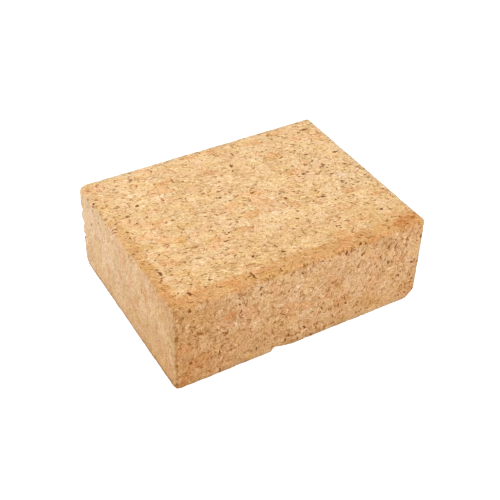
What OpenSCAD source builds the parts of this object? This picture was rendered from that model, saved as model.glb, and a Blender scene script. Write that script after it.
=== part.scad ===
// Cork sanding block.
// One solid block sawn from pressed and bonded cork granules. A sheet of
// abrasive paper is wrapped round the bottom face and up the long sides,
// and the hand holds it there. All the edges are eased a little, so they
// don't dig into the hand or cut through the paper that folds over them.
//
// Frame: origin at the centre of the bottom (working) face, +X along the
// long side, +Y towards the back, +Z up to the top face. Millimetres.

/* [Block] */

// Length of the block, end to end
block_length = 110; // [80:1:150]

// Width of the block, front to back
block_width = 85; // [50:1:110]

// Thickness of the block, from the working face to the top face
block_height = 40; // [25:1:60]

/* [Eased edges] */

// Radius of the four edges round the top face
top_edge_r = 1.5; // [0.5:0.5:10]

// Radius of the four edges round the working face, where the paper folds
bottom_edge_r = 1.5; // [0.5:0.5:10]

// Radius of the four upright edges
upright_edge_r = 1.5; // [0.5:0.5:12]

/* [Quality] */

// Number of facets that a preview gives a full circle
smoothness = 64; // [32:16:128]

/* [Hidden] */

// How far each outline and its cuts run past the block that they trim
overrun = 1;

cork_color = [0.87, 0.71, 0.52];

$fn = smoothness;

// What comes off a square corner at the origin, with the material towards
// +X and +Y, to leave an arc of radius r
module corner_waste(r) {
    difference() {
        translate([-overrun, -overrun])
            square(r + overrun);
        translate([r, r])
            circle(r);
    }
}

// A rectangle that stands on Y = 0, centred on X, with arcs of radius
// low_r at its two lower corners and high_r at its two upper ones
module eased_outline(outline_w, outline_h, low_r, high_r) {
    difference() {
        translate([-outline_w / 2, 0])
            square([outline_w, outline_h]);
        for (side = [0, 1])
            mirror([side, 0]) {
                translate([-outline_w / 2, 0])
                    corner_waste(low_r);
                translate([-outline_w / 2, outline_h])
                    mirror([0, 1])
                        corner_waste(high_r);
            }
    }
}

// The block's outline seen from above, carried past its top and bottom
module plan_prism() {
    translate([0, -block_width / 2, -overrun])
        linear_extrude(block_height + 2 * overrun)
            eased_outline(block_length, block_width, upright_edge_r, upright_edge_r);
}

// The block's outline seen level, outline_w wide, carried along Y past
// both ends of a run
module level_prism(outline_w, run) {
    rotate([90, 0, 0])
        linear_extrude(run + 2 * overrun, center = true)
            eased_outline(outline_w, block_height, bottom_edge_r, top_edge_r);
}

// The block is what the outlines from above, the front and the end share
module cork_block() {
    color(cork_color)
        intersection() {
            plan_prism();
            level_prism(block_length, block_width);
            rotate([0, 0, 90])
                level_prism(block_width, block_length);
        }
}

cork_block();
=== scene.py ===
import math

import bpy
import numpy as np
from mathutils import Matrix, Vector


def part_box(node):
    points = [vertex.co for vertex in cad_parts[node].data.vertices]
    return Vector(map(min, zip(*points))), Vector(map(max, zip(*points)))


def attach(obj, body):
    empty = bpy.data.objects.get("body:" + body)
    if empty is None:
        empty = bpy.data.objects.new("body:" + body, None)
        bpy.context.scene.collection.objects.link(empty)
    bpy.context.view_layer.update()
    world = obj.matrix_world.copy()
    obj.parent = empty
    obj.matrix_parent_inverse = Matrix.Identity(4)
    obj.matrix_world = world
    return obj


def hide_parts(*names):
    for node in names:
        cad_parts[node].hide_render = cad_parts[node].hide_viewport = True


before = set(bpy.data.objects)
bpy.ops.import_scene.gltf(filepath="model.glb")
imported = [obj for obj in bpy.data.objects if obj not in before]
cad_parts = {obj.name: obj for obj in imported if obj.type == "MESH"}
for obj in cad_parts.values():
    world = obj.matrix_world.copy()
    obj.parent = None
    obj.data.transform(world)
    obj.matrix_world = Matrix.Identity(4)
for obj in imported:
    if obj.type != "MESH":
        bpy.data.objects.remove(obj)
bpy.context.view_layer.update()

MM = 0.001

# Where the camera stands, as degrees round and above the block, and its
# distance and aim as shares of the block's length
CAMERA_AZIMUTH = -31.26
CAMERA_ELEVATION = 39.45
CAMERA_ROLL = 1.76
CAMERA_DISTANCE = 3.690
AIM_RIGHT = 0.0105
AIM_UP = 0.1092
LENS = 69.3
SENSOR_WIDTH = 36

# The block's box, in millimetres
block_low, block_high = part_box("cork_block")
SIZE = np.array(block_high - block_low) / MM
HALF = SIZE / 2

# How the block is worn, in millimetres: the eased edges, then how far each
# named corner is knocked off, measured along its three edges, and how softly
# those corners and the chip meet the rest
EDGE_R = 1.2
CORNER_SOFTNESS = 1.2
CHIP_SOFTNESS = 0.5
KNOCKED_CORNERS = {
    "front right bottom": ((1, -1, -1), 4.4),
    "back left bottom": ((-1, 1, -1), 3.2),
    "back left top": ((-1, 1, 1), 2.5),
    "front left bottom": ((-1, -1, -1), 1.7),
    "front left top": ((-1, -1, 1), 2.2),
    "back right bottom": ((1, 1, -1), 2.4),
    "front right top": ((1, -1, 1), 0.9),
    "back right top": ((1, 1, 1), 0.9),
}

# The chip broken out of the front bottom edge: it starts abruptly and runs
# out to the right
CHIP_START = -14.3
CHIP_DEEPEST = -12.6
CHIP_END = -1.5
CHIP_HEIGHT = 2.5
CHIP_DEPTH = 4.4

# Nicks in the back left upright edge: height, half length and depth
EDGE_NICKS = [(28.5, 1.5, 2.8), (21.8, 2.0, 2.8), (15.2, 1.6, 3.3), (10.0, 1.2, 1.5)]

# The granules are pressed flat across the block, at this angle to its width
PRESS_TURN = 16.0

# Sizes of a whole granule, and of the flakes and chips in it, before they are
# pressed flat
GRANULE = 6.0
FLAKE = 3.0
CHIP = 1.0

# Spacing of the surface's grid, wider in the middle of a face than at its edges
GRID = 0.66
EDGE_GRID = 0.36
EDGE_ZONE = 4.0

# Colours of the top, the ends and the long sides, of the fresh band along two
# of the top's edges, of the lines between strands, and of black and red bark
TOP_COLOR = (0.526, 0.345, 0.179)
END_COLOR = (0.577, 0.389, 0.235)
SIDE_COLOR = (0.447, 0.261, 0.1275)
BAND_COLOR = (0.445, 0.239, 0.095)
LINE_COLOR = (0.20, 0.068, 0.010)
BARK_COLOR = (0.095, 0.028, 0.003)
RED_BARK_COLOR = (0.20, 0.056, 0.006)

# How much of each of red, green and blue an edge keeps under its painted grey shade
EDGE_SHADE_KEPT = (0.88, 0.97, 1.13)

# Tints that granules have: place on the ramp that they are drawn from, and how
# much of each of red, green and blue they keep
GRANULE_HUES = [
    (0.0, (0.985, 1.055, 1.13)),
    (0.2, (1.005, 1.04, 0.965)),
    (0.4, (1.055, 0.975, 0.86)),
    (0.6, (0.94, 1.025, 1.025)),
    (0.8, (1.045, 0.975, 1.02)),
    (1.0, (0.975, 0.85, 0.71)),
]

# Single granules that stand out: centre and half sizes in millimetres, and
# how much of each of red, green and blue they keep
ODD_GRANULES = [
    ((47, -39, 39), (5.0, 4.0, 4.0), (0.93, 0.84, 0.78)),
    ((-32, -42, 28), (2.6, 2.0, 2.0), (0.92, 0.76, 0.62)),
    ((-35, -8, 40), (3.0, 2.4, 2.0), (1.0, 0.88, 0.70)),
    ((-5, 25, 40), (4.5, 2.0, 2.0), (0.92, 0.84, 0.80)),
    ((43, -2, 40), (2.6, 2.6, 2.0), (1.0, 1.02, 1.16)),
    ((-33, -32, 40), (5.5, 1.4, 2.0), (1.05, 1.10, 1.16)),
    ((-49, -34, 40), (3.2, 1.8, 2.0), (1.06, 1.12, 1.20)),
    ((-21, -40, 39), (1.4, 3.4, 3.0), (1.08, 1.20, 1.40)),
    ((-28, -42, 24), (2.6, 2.0, 3.2), (1.10, 1.25, 1.45)),
    ((-44, -42, 38), (2.2, 2.0, 1.5), (1.14, 1.34, 1.65)),
    ((14, -21, 40), (1.5, 1.2, 2.0), (0.80, 0.72, 0.66)),
    ((-50, 37, 39), (4.0, 3.5, 3.0), (0.98, 0.88, 0.86)),
]

# Dark bark marks that stand out: centre and half sizes in millimetres
BARK_MARKS = [
    ((47.5, 35, 40), (2.2, 0.45, 1.0)),
    ((44.5, 34, 40), (0.6, 0.5, 1.0)),
    ((-40, 18.7, 40), (0.8, 0.6, 1.0)),
    ((10.6, 33, 40), (0.35, 1.4, 1.0)),
    ((6, 25.5, 40), (0.6, 1.1, 1.0)),
    ((27.3, 21, 40), (1.0, 0.6, 1.0)),
    ((50.5, 14, 40), (1.3, 0.5, 1.0)),
    ((29.6, 6.5, 40), (0.8, 0.6, 1.0)),
    ((14, -4.5, 40), (0.8, 0.7, 1.0)),
    ((14, -13.7, 40), (0.5, 0.6, 1.0)),
    ((43.6, -28.4, 40), (1.0, 0.6, 1.0)),
    ((27.5, -28, 40), (1.1, 0.4, 1.0)),
    ((-49.8, -22, 40), (0.6, 1.5, 1.0)),
    ((-45.6, -36.5, 40), (0.6, 1.1, 1.0)),
    ((-21, -38.7, 40), (0.5, 2.0, 1.0)),
    ((-48.7, -42.5, 38), (0.6, 1.0, 0.9)),
    ((-20.6, -42.5, 6), (0.5, 1.0, 1.0)),
    ((-48.6, -42.5, 12), (0.7, 1.0, 0.6)),
    ((45, -42.5, 15.4), (0.4, 1.0, 0.6)),
    ((-6.2, -42.5, 6.2), (0.45, 1.0, 1.0)),
    ((-7.6, -42.5, 4.6), (0.4, 1.0, 0.7)),
    ((14.7, -42.5, 3.4), (0.6, 1.0, 0.5)),
]

# How deep the relief goes, in millimetres. Granules lie between two levels, and
# edges are ragged up to one depth, or to the other at the back left upright edge
LEVEL_DEPTHS = (0.02, 0.09)
RAGGED_EDGE_DEPTHS = (0.3, 0.6)
BORDER_DEPTH = 0.07
PIT_DEPTH = 0.45
BUMP_DEPTH = 0.12

# Pits and specks: the size of the cells that hold them and their largest radius
# in millimetres, and the share of cells that hold a pit, on a face and at an edge
PIT_SPACING = 4.0
PIT_RADIUS = 1.2
PIT_SHARES = (0.14, 0.32)
SPECK_SPACING = 2.1
SPECK_RADIUS = 1.05

# How much the pattern is squeezed along X, Y and Z, or stretched where it is
# under 1: granules, the strands in them, and the holes between strands
GRANULE_SQUEEZE = (1.0, 1.7, 1.0)
STRAND_SQUEEZE = (0.48, 1.1, 1.0)
HOLE_SQUEEZE = (1.2, 1.0, 1.35)

# Where the fresh band has faded out and where it is whole, in millimetres: in
# from the top's front edge, in from its left edge, and down the sides; and how
# strongly it shows
FRONT_BAND = (7.4, 5.6)
LEFT_BAND = (5.8, 4.0)
BAND_DOWN = (2.6, 0.6)
BAND_SHARE = 0.9

# Tones of the faces, from dark to pale: painted shade on the sides, lifting away
# from the front left edge and from the floor up, painted light on the top, growing
# from its front to its back, and the clouds
CORNER_SHADE_TONES = (0.88, 1.015)
FLOOR_SHADE_TONES = (0.915, 1.01)
TOP_LIGHT_TONES = (0.955, 1.005)
CLOUD_TONES = (0.95, 1.05)

# Tones of the sides at their right end, and of the left end's darker foot
RIGHT_TONE = 0.97
FOOT_TONE = 0.76

# Tones of the strands in a granule, and how strongly dark marks and lines
# show; the two shares for lines are for the long sides and top, and the ends
STRAND_TONES = (0.77, 1.23)
DARK_SHARE = 0.92
LINE_SHARES = (0.8, 0.35)

# Each light's place, width and power, in metres and watts
LIGHTS = {
    "overhead_light": ((-0.25, 0.30, 0.65), 0.45, 3.6),
    "front_right_light": ((0.40, -0.58, 0.30), 0.40, 2.9),
}

# Half the floor's width in metres, and how far it lies under the block in millimetres
FLOOR_HALF = 3.0
FLOOR_DROP = 0.02


def smooth_max(a, b, soft):
    """The larger of two fields, blended over soft millimetres where they are close."""
    h = np.clip(0.5 + 0.5 * (a - b) / soft, 0, 1)
    return b + (a - b) * h + soft * h * (1 - h)


def rounded_rectangle(u, v, half_u, half_v):
    """Distance from a rectangle centred on 0, 0 with eased corners."""
    qu = np.abs(u) - half_u + EDGE_R
    qv = np.abs(v) - half_v + EDGE_R
    outside = np.hypot(np.maximum(qu, 0), np.maximum(qv, 0))
    return outside + np.minimum(np.maximum(qu, qv), 0) - EDGE_R


def chip_cut(x, y, z):
    """How far a point is inside the material that the chip took away."""
    rise = np.clip((x - CHIP_START) / (CHIP_DEEPEST - CHIP_START), 0, 1)
    fall = np.clip((CHIP_END - x) / (CHIP_END - CHIP_DEEPEST), 0, 1)
    share = np.minimum(rise, fall**1.3)
    height = CHIP_HEIGHT * share + 0.01
    depth = CHIP_DEPTH * share + 0.01
    from_front = y + HALF[1]
    slant = 1 - from_front / depth - z / height
    return slant * height * depth / np.hypot(height, depth)


def nick_cut(x, y, z):
    """How far a point is inside the material that the nicks took away."""
    leg = sum(depth * np.maximum(1 - ((z - height) / half)**2, 0)
              for height, half, depth in EDGE_NICKS)
    return (leg - (x + HALF[0]) - (HALF[1] - y)) / math.sqrt(2)


def block_field(p):
    """How far each point is outside the block's worn surface, in millimetres."""
    x, y, z = p[:, 0], p[:, 1], p[:, 2]
    mid_z = z - HALF[2]
    plan = rounded_rectangle(x, y, HALF[0], HALF[1])
    front = rounded_rectangle(x, mid_z, HALF[0], HALF[2])
    side = rounded_rectangle(y, mid_z, HALF[1], HALF[2])
    field = np.maximum(plan, np.maximum(front, side))
    for signs, leg in KNOCKED_CORNERS.values():
        reach = sum(sign * (axis - sign * half)
                    for sign, axis, half in zip(signs, (x, y, mid_z), HALF))
        field = smooth_max(field, (reach + leg) / math.sqrt(3), CORNER_SOFTNESS)
    field = np.maximum(field, nick_cut(x, y, z))
    return smooth_max(field, chip_cut(x, y, z), CHIP_SOFTNESS)


def surface_gradient(p, apart=0.02):
    """Slope of the block's field at each point, from values that far apart on both sides."""
    grad = np.empty_like(p)
    for axis in range(3):
        shift = np.zeros(3)
        shift[axis] = apart
        grad[:, axis] = (block_field(p + shift) - block_field(p - shift)) / (2 * apart)
    return grad


def grid_stops(low, high):
    """Places along one side: close together near its ends, where the edges curve."""
    near = np.linspace(0, EDGE_ZONE, round(EDGE_ZONE / EDGE_GRID) + 1)
    rest = high - low - 2 * EDGE_ZONE
    middle = np.linspace(0, rest, round(rest / GRID) + 1)[1:-1] + EDGE_ZONE
    return low + np.concatenate([near, middle, high - low - near[::-1]])


def box_grid():
    """Points and quads of a box whose six faces share one grid along their edges."""
    stops = [
        grid_stops(-HALF[0], HALF[0]),
        grid_stops(-HALF[1], HALF[1]),
        grid_stops(0, SIZE[2]),
    ]
    shape = [len(s) for s in stops]
    shell = np.zeros(shape, bool)
    for axis in range(3):
        ends = [slice(None)] * 3
        ends[axis] = [0, -1]
        shell[tuple(ends)] = True
    number = np.full(shape, -1)
    number[shell] = np.arange(shell.sum())
    where = np.argwhere(shell)
    points = np.stack([stops[a][where[:, a]] for a in range(3)], axis=1)
    quads = []
    for axis in range(3):
        for end in (0, -1):
            sheet = np.take(number, end, axis=axis)
            corners = [sheet[:-1, :-1], sheet[1:, :-1], sheet[1:, 1:], sheet[:-1, 1:]]
            outward = (end == -1) == (axis != 1)
            if not outward:
                corners.reverse()
            quads.append(np.stack([c.ravel() for c in corners], axis=1))
    return points, np.concatenate(quads)


def make_block():
    """The worn block, before its granules are pressed into its surface."""
    points, quads = box_grid()
    for _ in range(6):
        grad = surface_gradient(points)
        length2 = np.maximum((grad**2).sum(1), 0.25)
        points -= grad * (block_field(points) / length2)[:, None]
    mesh = bpy.data.meshes.new("cork_granule_block")
    mesh.vertices.add(len(points))
    mesh.vertices.foreach_set("co", (points * MM).ravel())
    mesh.loops.add(quads.size)
    mesh.loops.foreach_set("vertex_index", quads.ravel())
    mesh.polygons.add(len(quads))
    mesh.polygons.foreach_set("loop_start", np.arange(0, quads.size, 4))
    mesh.update(calc_edges=True)
    mesh.validate()
    mesh.shade_smooth()
    block = bpy.data.objects.new("cork_granule_block", mesh)
    bpy.context.scene.collection.objects.link(block)
    return block


def add(tree, kind, inputs=(), **settings):
    """Add a node, set its properties, and feed its sockets by name or number."""
    node = tree.nodes.new(kind)
    for key, value in settings.items():
        setattr(node, key, value)
    for key, value in dict(inputs).items():
        socket = node.inputs[key]
        if isinstance(value, bpy.types.NodeSocket):
            tree.links.new(value, socket)
        elif socket.type == "RGBA":
            socket.default_value = (*value, 1)
        else:
            socket.default_value = value
    return node


def calc(tree, operation, *values):
    return add(tree, "ShaderNodeMath", enumerate(values), operation=operation).outputs[0]


def vector_calc(tree, operation, a, b):
    return add(tree, "ShaderNodeVectorMath", {0: a, 1: b}, operation=operation).outputs[0]


def step(tree, value, start, end):
    """0 up to start, 1 from end on, and a smooth rise between; start may be the larger."""
    ends = {"Value": value, "From Min": start, "From Max": end}
    return add(tree, "ShaderNodeMapRange", ends, interpolation_type="SMOOTHSTEP").outputs[0]


def span(tree, value, low, high):
    """Turn 0 to 1 into low to high."""
    ends = {"Value": value, "To Min": low, "To Max": high}
    return add(tree, "ShaderNodeMapRange", ends).outputs[0]


def noise(tree, place, size, detail=2.0, roughness=0.5):
    """Noise whose lumps are about size millimetres across."""
    inputs = {"Vector": place, "Scale": 1 / size, "Detail": detail, "Roughness": roughness}
    return add(tree, "ShaderNodeTexNoise", inputs)


def cells(tree, place, size, feature="F1"):
    """Voronoi cells about size millimetres across."""
    inputs = {"Vector": place, "Scale": 1 / size}
    return add(tree, "ShaderNodeTexVoronoi", inputs, feature=feature)


def turned(tree, vector, angle, axis):
    """A place turned about X, Y or Z through the origin."""
    inputs = {"Vector": vector, "Angle": angle}
    return add(tree, "ShaderNodeVectorRotate", inputs, rotation_type=axis).outputs[0]


def split(tree, vector):
    return add(tree, "ShaderNodeSeparateXYZ", {0: vector}).outputs


def mix_color(tree, share, a, b, blend="MIX"):
    inputs = {0: share, 6: a, 7: b}
    return add(tree, "ShaderNodeMix", inputs, data_type="RGBA", blend_type=blend).outputs[2]


def tinted(tree, color, tone, depth=1.0):
    """A colour made lighter or darker; darker cork is also redder and deeper in colour."""
    green = calc(tree, "POWER", tone, 1 + 0.5 * depth)
    blue = calc(tree, "POWER", tone, 1 + 1.4 * depth)
    factor = add(tree, "ShaderNodeCombineXYZ", {0: tone, 1: green, 2: blue}).outputs[0]
    return vector_calc(tree, "MULTIPLY", color, factor)


def uneven(tree, draw, amount):
    """A tone from a draw of 0 to 1: mostly near 1, and now and then amount above or below."""
    swing = calc(tree, "POWER", span(tree, draw, -1.0, 1.0), 3)
    return calc(tree, "MULTIPLY_ADD", swing, amount, 1.0)


def middle_of(tree, a, b, c):
    """The middle one of three values: on a face, the distance in from its nearest edge."""
    lower = calc(tree, "MINIMUM", a, b)
    upper = calc(tree, "MAXIMUM", a, b)
    return calc(tree, "MAXIMUM", lower, calc(tree, "MINIMUM", upper, c))


def edge_depth(tree, place):
    """Distance in from the nearest edge of the box, in millimetres."""
    x, y, z = split(tree, place)
    from_end = calc(tree, "SUBTRACT", HALF[0], calc(tree, "ABSOLUTE", x))
    from_side = calc(tree, "SUBTRACT", HALF[1], calc(tree, "ABSOLUTE", y))
    mid_z = calc(tree, "SUBTRACT", z, HALF[2])
    from_level = calc(tree, "SUBTRACT", HALF[2], calc(tree, "ABSOLUTE", mid_z))
    return middle_of(tree, from_end, from_side, from_level)


class Cork:
    """The pattern of granules, shared by the surface's relief and its material."""

    def __init__(self, tree, place):
        self.tree = tree
        self.place = place
        # Granules are pressed flat along the turned Y, so they are thinner that way
        lie = turned(tree, place, math.radians(PRESS_TURN), "Z_AXIS")
        pressed = vector_calc(tree, "MULTIPLY", lie, GRANULE_SQUEEZE)
        self.pressed = self.swayed(pressed, 3.5, 3.4)
        granule = cells(tree, self.pressed, GRANULE)
        self.tint = split(tree, granule.outputs["Color"])
        gap = cells(tree, self.pressed, GRANULE, "DISTANCE_TO_EDGE").outputs["Distance"]
        self.border = calc(tree, "MULTIPLY", gap, GRANULE)
        # Strands inside a granule lie flat too, and each granule has its own angle
        turn = calc(tree, "MULTIPLY", self.tint[2], 2 * math.pi)
        own = turned(tree, self.pressed, turn, "Y_AXIS")
        self.strands = vector_calc(tree, "MULTIPLY", own, STRAND_SQUEEZE)
        self.flake_tint = split(tree, cells(tree, self.pressed, FLAKE).outputs["Color"])
        self.chip_tint = split(tree, cells(tree, self.strands, CHIP).outputs["Color"])
        self.ragged = self.swayed(place, 2.5, 4.0)
        self.torn = self.swayed(place, 1.2, 1.8)
        self.edge = step(tree, edge_depth(tree, place), 6.0, 1.0)
        self.pit, _ = self.holes(PIT_SPACING, span(tree, self.edge, *PIT_SHARES), PIT_RADIUS)

    def swayed(self, place, size, reach):
        """The place pushed about by noise, so that what is drawn there gets irregular."""
        push = noise(self.tree, self.place, size, detail=3).outputs["Color"]
        push = vector_calc(self.tree, "SUBTRACT", push, (0.5,) * 3)
        push = vector_calc(self.tree, "MULTIPLY", push, (reach,) * 3)
        return vector_calc(self.tree, "ADD", place, push)

    def holes(self, spacing, share, radius):
        """1 inside scattered ragged holes and 0 outside, and a draw for each hole.

        Only a share of the cells hold one. They lie along the strands.
        """
        tree = self.tree
        stretched = vector_calc(tree, "MULTIPLY", self.strands, HOLE_SQUEEZE)
        spots = cells(tree, self.swayed(stretched, 0.8, 1.2), spacing)
        draw = split(tree, spots.outputs["Color"])
        reach = calc(tree, "MULTIPLY", spots.outputs["Distance"], spacing)
        size = span(tree, calc(tree, "POWER", draw[1], 1.5), 0.55 * radius, radius)
        inside = step(tree, calc(tree, "DIVIDE", reach, size), 1.0, 0.6)
        chosen = calc(tree, "LESS_THAN", draw[0], share)
        return calc(tree, "MULTIPLY", inside, chosen), draw[2]

    def patch(self, place, centre, radii):
        """1 inside one patch round a centre and 0 outside."""
        from_centre = vector_calc(self.tree, "SUBTRACT", place, centre)
        scaled = vector_calc(self.tree, "DIVIDE", from_centre, radii)
        reach = add(self.tree, "ShaderNodeVectorMath", {0: scaled}, operation="LENGTH")
        return step(self.tree, reach.outputs["Value"], 1.25, 0.75)


def press_granules(block):
    """Sink granules, their borders, pits and ragged edges into the block's surface."""
    tree = bpy.data.node_groups.new("granule_relief", "GeometryNodeTree")
    tree.interface.new_socket("Geometry", in_out="INPUT", socket_type="NodeSocketGeometry")
    tree.interface.new_socket("Geometry", in_out="OUTPUT", socket_type="NodeSocketGeometry")
    given = add(tree, "NodeGroupInput")
    result = add(tree, "NodeGroupOutput")
    position = add(tree, "GeometryNodeInputPosition").outputs[0]
    place = vector_calc(tree, "MULTIPLY", position, (1 / MM,) * 3)
    cork = Cork(tree, place)
    level = span(tree, cork.tint[2], *LEVEL_DEPTHS)
    groove = calc(tree, "MULTIPLY", step(tree, cork.border, 0.9, 0.0), BORDER_DEPTH)
    pit = calc(tree, "MULTIPLY", cork.pit, PIT_DEPTH)
    x, y, _ = split(tree, place)
    near_edge = step(tree, edge_depth(tree, place), 2.6, 0.2)
    nick = step(tree, noise(tree, place, 2.4, detail=3).outputs["Fac"], 0.50, 0.78)
    # The back left upright edge is the roughest
    rough_edge = calc(tree, "MULTIPLY", step(tree, x, -50.0, -54.0), step(tree, y, 38.0, 41.5))
    nick_size = span(tree, rough_edge, *RAGGED_EDGE_DEPTHS)
    nick = calc(tree, "MULTIPLY", calc(tree, "MULTIPLY", nick, near_edge), nick_size)
    depth = calc(tree, "ADD", calc(tree, "ADD", level, groove), calc(tree, "ADD", pit, nick))
    normal = add(tree, "GeometryNodeInputNormal").outputs[0]
    inward = calc(tree, "MULTIPLY", depth, -MM)
    offset = add(tree, "ShaderNodeVectorMath", {0: normal, "Scale": inward}, operation="SCALE")
    pair = {"Geometry": given.outputs[0], "Offset": offset.outputs[0]}
    moved = add(tree, "GeometryNodeSetPosition", pair)
    tree.links.new(moved.outputs[0], result.inputs[0])
    relief = block.modifiers.new("granule_relief", "NODES")
    relief.node_group = tree
    graph = bpy.context.evaluated_depsgraph_get()
    pressed = bpy.data.meshes.new_from_object(block.evaluated_get(graph))
    block.modifiers.remove(relief)
    block.data = pressed
    pressed.name = "cork_granule_block"


def cork_material():
    """The block's one material: face colours, granules, lines, bark and pits."""
    material = bpy.data.materials.new("bonded_cork")
    material.use_nodes = True
    tree = material.node_tree
    tree.nodes.clear()
    position = add(tree, "ShaderNodeTexCoord").outputs["Object"]
    place = vector_calc(tree, "MULTIPLY", position, (1 / MM,) * 3)
    x, y, z = split(tree, place)
    cork = Cork(tree, place)

    # Colour of each face: paler with dust on the top and the ends. Painted shade
    # makes the sides deeper towards the front left upright edge and the bottom
    from_top = calc(tree, "SUBTRACT", SIZE[2], z)
    from_end = calc(tree, "SUBTRACT", HALF[0], calc(tree, "ABSOLUTE", x))
    from_front = calc(tree, "ADD", y, HALF[1])
    from_left = calc(tree, "ADD", x, HALF[0])
    near_top = step(tree, from_top, 1.2, 0.2)
    near_end = step(tree, from_end, 0.8, 0.1)
    cloud = span(tree, noise(tree, place, 12.0).outputs["Fac"], *CLOUD_TONES)
    # Painted shade: the sides and ends darken towards the front left upright edge
    from_corner = calc(tree, "MULTIPLY_ADD", from_left, 2.0, from_front)
    painted_corner_shade = span(tree, step(tree, from_corner, -15.0, 85.0), *CORNER_SHADE_TONES)
    # Painted shade: the sides and ends darken towards the floor
    up = span(tree, step(tree, z, -3.0, 24.0), *FLOOR_SHADE_TONES)
    to_right = span(tree, step(tree, x, 44.0, 54.0), 1.0, RIGHT_TONE)
    painted_side_shade = calc(tree, "MULTIPLY", calc(tree, "MULTIPLY", painted_corner_shade, up), to_right)
    sides = mix_color(tree, near_end, SIDE_COLOR, END_COLOR)
    sides = tinted(tree, sides, calc(tree, "MULTIPLY", painted_side_shade, cloud), 1.7)
    # Painted light: the top grows paler from its front edge towards its back
    painted_top_light = span(tree, step(tree, from_front, 0.0, 34.0), *TOP_LIGHT_TONES)
    top = tinted(tree, TOP_COLOR, calc(tree, "MULTIPLY", painted_top_light, cloud), 1.7)
    base = mix_color(tree, near_top, sides, top)

    # The band of fresher orange cork along the top's front and left edges
    ragged = calc(tree, "MULTIPLY", calc(tree, "SUBTRACT", cork.tint[0], 0.5), 1.8)
    front_band = step(tree, calc(tree, "ADD", from_front, ragged), *FRONT_BAND)
    left_band = step(tree, calc(tree, "ADD", from_left, ragged), *LEFT_BAND)
    to_front = span(tree, step(tree, y, 34.0, -20.0), 0.1, 1.0)
    left_band = calc(tree, "MULTIPLY", left_band, to_front)
    band = calc(tree, "MAXIMUM", front_band, left_band)
    low = calc(tree, "ADD", from_top, calc(tree, "MULTIPLY", near_end, 1.5))
    band = calc(tree, "MULTIPLY", band, step(tree, low, *BAND_DOWN))
    base = mix_color(tree, calc(tree, "MULTIPLY", band, BAND_SHARE), base, BAND_COLOR)

    # Painted shade greys every edge but the three at the front left top corner,
    # and the left end is darker at its foot
    from_front_left_top_edges = middle_of(tree, from_left, from_front, from_top)
    by_edge = step(tree, edge_depth(tree, place), 3.4, 0.6)
    painted_edge_shade = calc(tree, "MULTIPLY", by_edge, step(tree, from_front_left_top_edges, 3.0, 6.0))
    base = mix_color(tree, painted_edge_shade, base, vector_calc(tree, "MULTIPLY", base, EDGE_SHADE_KEPT))
    foot = calc(tree, "MULTIPLY", step(tree, from_left, 2.0, 0.5), step(tree, z, 3.6, 1.0))
    base = tinted(tree, base, span(tree, foot, 1.0, FOOT_TONE), 0.6)

    # Granules: each has its own tone, and so have the flakes in it
    hue = add(tree, "ShaderNodeValToRGB", {0: cork.tint[0]})
    hue.color_ramp.interpolation = "B_SPLINE"
    stops = hue.color_ramp.elements
    for place_on_ramp, color in GRANULE_HUES[:-1]:
        stop = stops[0] if place_on_ramp == 0 else stops.new(place_on_ramp)
        stop.color = (*color, 1)
    stops[-1].position, stops[-1].color = 1, (*GRANULE_HUES[-1][1], 1)
    base = mix_color(tree, 1.0, base, hue.outputs[0], "MULTIPLY")
    for centre, radii, kept in ODD_GRANULES:
        inside = cork.patch(cork.ragged, centre, radii)
        base = mix_color(tree, inside, base, vector_calc(tree, "MULTIPLY", base, kept))
    fine = noise(tree, cork.strands, 0.55, detail=3, roughness=0.6).outputs["Fac"]
    swing = span(tree, cork.tint[1], 0.12, 0.27)
    swing = calc(tree, "MULTIPLY", swing, span(tree, near_end, 1.0, 0.7))
    tone = span(tree, cork.tint[1], 1.05, 0.95)
    tone = calc(tree, "MULTIPLY", tone, uneven(tree, cork.flake_tint[0], 0.08))
    tone = calc(tree, "MULTIPLY", tone, uneven(tree, cork.chip_tint[0], swing))
    base = tinted(tree, base, tone)
    base = tinted(tree, base, span(tree, step(tree, fine, 0.34, 0.66), *STRAND_TONES), 0.3)

    # Broken dark lines between the strands and between granules
    wave = noise(tree, cork.strands, 2.2, detail=1).outputs["Fac"]
    ridge = calc(tree, "ABSOLUTE", calc(tree, "SUBTRACT", wave, 0.5))
    broken = step(tree, noise(tree, place, 1.9).outputs["Fac"], 0.51, 0.59)
    on_border = step(tree, cork.border, 0.30, 0.05)
    line = calc(tree, "MAXIMUM", step(tree, ridge, 0.032, 0.012), on_border)
    line = calc(tree, "MULTIPLY", line, broken)
    line = calc(tree, "MULTIPLY", line, span(tree, near_end, *LINE_SHARES))
    base = mix_color(tree, line, base, LINE_COLOR)

    # Specks of dark bark, and pits
    crowd = span(tree, noise(tree, place, 11.0).outputs["Fac"], -1.15, 1.15)
    crowd = calc(tree, "ADD", crowd, calc(tree, "MULTIPLY", cork.edge, 0.14))
    to_right = step(tree, x, -20.0, 50.0)
    crowd = calc(tree, "ADD", crowd, calc(tree, "MULTIPLY", to_right, 0.10))
    crowd = calc(tree, "SUBTRACT", crowd, calc(tree, "MULTIPLY", near_end, 0.25))
    mark = 0.0
    for centre, radii in BARK_MARKS:
        mark = calc(tree, "MAXIMUM", mark, cork.patch(cork.torn, centre, radii))
    speck, speck_draw = cork.holes(SPECK_SPACING, crowd, SPECK_RADIUS)
    dark = calc(tree, "MAXIMUM", calc(tree, "MAXIMUM", cork.pit, speck), mark)
    bark = mix_color(tree, speck_draw, BARK_COLOR, RED_BARK_COLOR)
    base = mix_color(tree, calc(tree, "MULTIPLY", dark, DARK_SHARE), base, bark)

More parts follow.
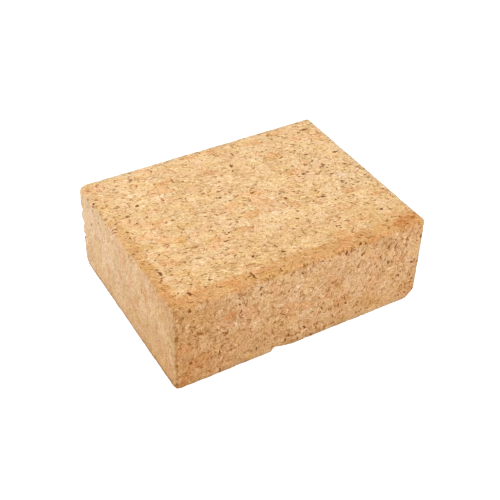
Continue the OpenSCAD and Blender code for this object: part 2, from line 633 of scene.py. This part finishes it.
    height = calc(tree, "SUBTRACT", fine, dark)
    inputs = {"Height": height, "Distance": BUMP_DEPTH * MM, "Strength": 0.6}
    bump = add(tree, "ShaderNodeBump", inputs)
    surface = add(tree, "ShaderNodeBsdfPrincipled", {
        "Base Color": base,
        "Roughness": span(tree, fine, 0.82, 0.95),
        "Specular IOR Level": 0.04,
        "Normal": bump.outputs[0],
    })
    add(tree, "ShaderNodeOutputMaterial", {"Surface": surface.outputs[0]})
    return material


def camera_axes(azimuth, elevation, roll):
    """The camera's right, up and back directions."""
    a, e, r = (math.radians(v) for v in (azimuth, elevation, roll))
    back = Vector((math.sin(a) * math.cos(e), -math.cos(a) * math.cos(e), math.sin(e)))
    right = Vector((0, 0, 1)).cross(back).normalized()
    up = back.cross(right)
    return (
        math.cos(r) * right + math.sin(r) * up,
        math.cos(r) * up - math.sin(r) * right,
        back,
    )


def make_camera():
    right, up, back = camera_axes(CAMERA_AZIMUTH, CAMERA_ELEVATION, CAMERA_ROLL)
    length = SIZE[0] * MM
    place = length * (AIM_RIGHT * right + AIM_UP * up + CAMERA_DISTANCE * back)
    data = bpy.data.cameras.new("camera")
    data.lens = LENS
    data.sensor_width = SENSOR_WIDTH
    data.clip_start = 0.01
    camera = bpy.data.objects.new("camera", data)
    turn = Matrix((right, up, back)).transposed().to_4x4()
    camera.matrix_world = Matrix.Translation(place) @ turn
    bpy.context.scene.collection.objects.link(camera)
    bpy.context.scene.camera = camera


def softbox(name, place, size, power):
    """A square soft light that faces the block."""
    data = bpy.data.lights.new(name, "AREA")
    data.size = size
    data.energy = power
    light = bpy.data.objects.new(name, data)
    light.location = place
    aim = Vector((0, 0, HALF[2] * MM)) - light.location
    light.rotation_euler = aim.to_track_quat("-Z", "Y").to_euler()
    bpy.context.scene.collection.objects.link(light)


def make_stage():
    """A glowing white floor, the white room round it, and the lights."""
    material = bpy.data.materials.new("white_floor")
    material.use_nodes = True
    surface = material.node_tree.nodes["Principled BSDF"]
    surface.inputs["Base Color"].default_value = (0.3, 0.3, 0.3, 1)
    surface.inputs["Roughness"].default_value = 0.9
    surface.inputs["Emission Color"].default_value = (1, 1, 1, 1)
    surface.inputs["Emission Strength"].default_value = 0.9
    mesh = bpy.data.meshes.new("floor")
    s = FLOOR_HALF
    low = -FLOOR_DROP * MM
    corners = [(-s, -s, low), (s, -s, low), (s, s, low), (-s, s, low)]
    mesh.from_pydata(corners, [], [(0, 1, 2, 3)])
    floor = bpy.data.objects.new("floor", mesh)
    mesh.materials.append(material)
    bpy.context.scene.collection.objects.link(floor)
    world = bpy.data.worlds.new("white_room")
    bpy.context.scene.world = world
    world.use_nodes = True
    background = world.node_tree.nodes["Background"]
    background.inputs["Color"].default_value = (1, 1, 1, 1)
    background.inputs["Strength"].default_value = 1.0
    for name, (place, size, power) in LIGHTS.items():
        softbox(name, place, size, power)


make_camera()
block = make_block()
press_granules(block)
block.data.materials.append(cork_material())
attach(block, "root")
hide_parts("cork_block")
make_stage()
bpy.context.scene.view_settings.view_transform = "Standard"
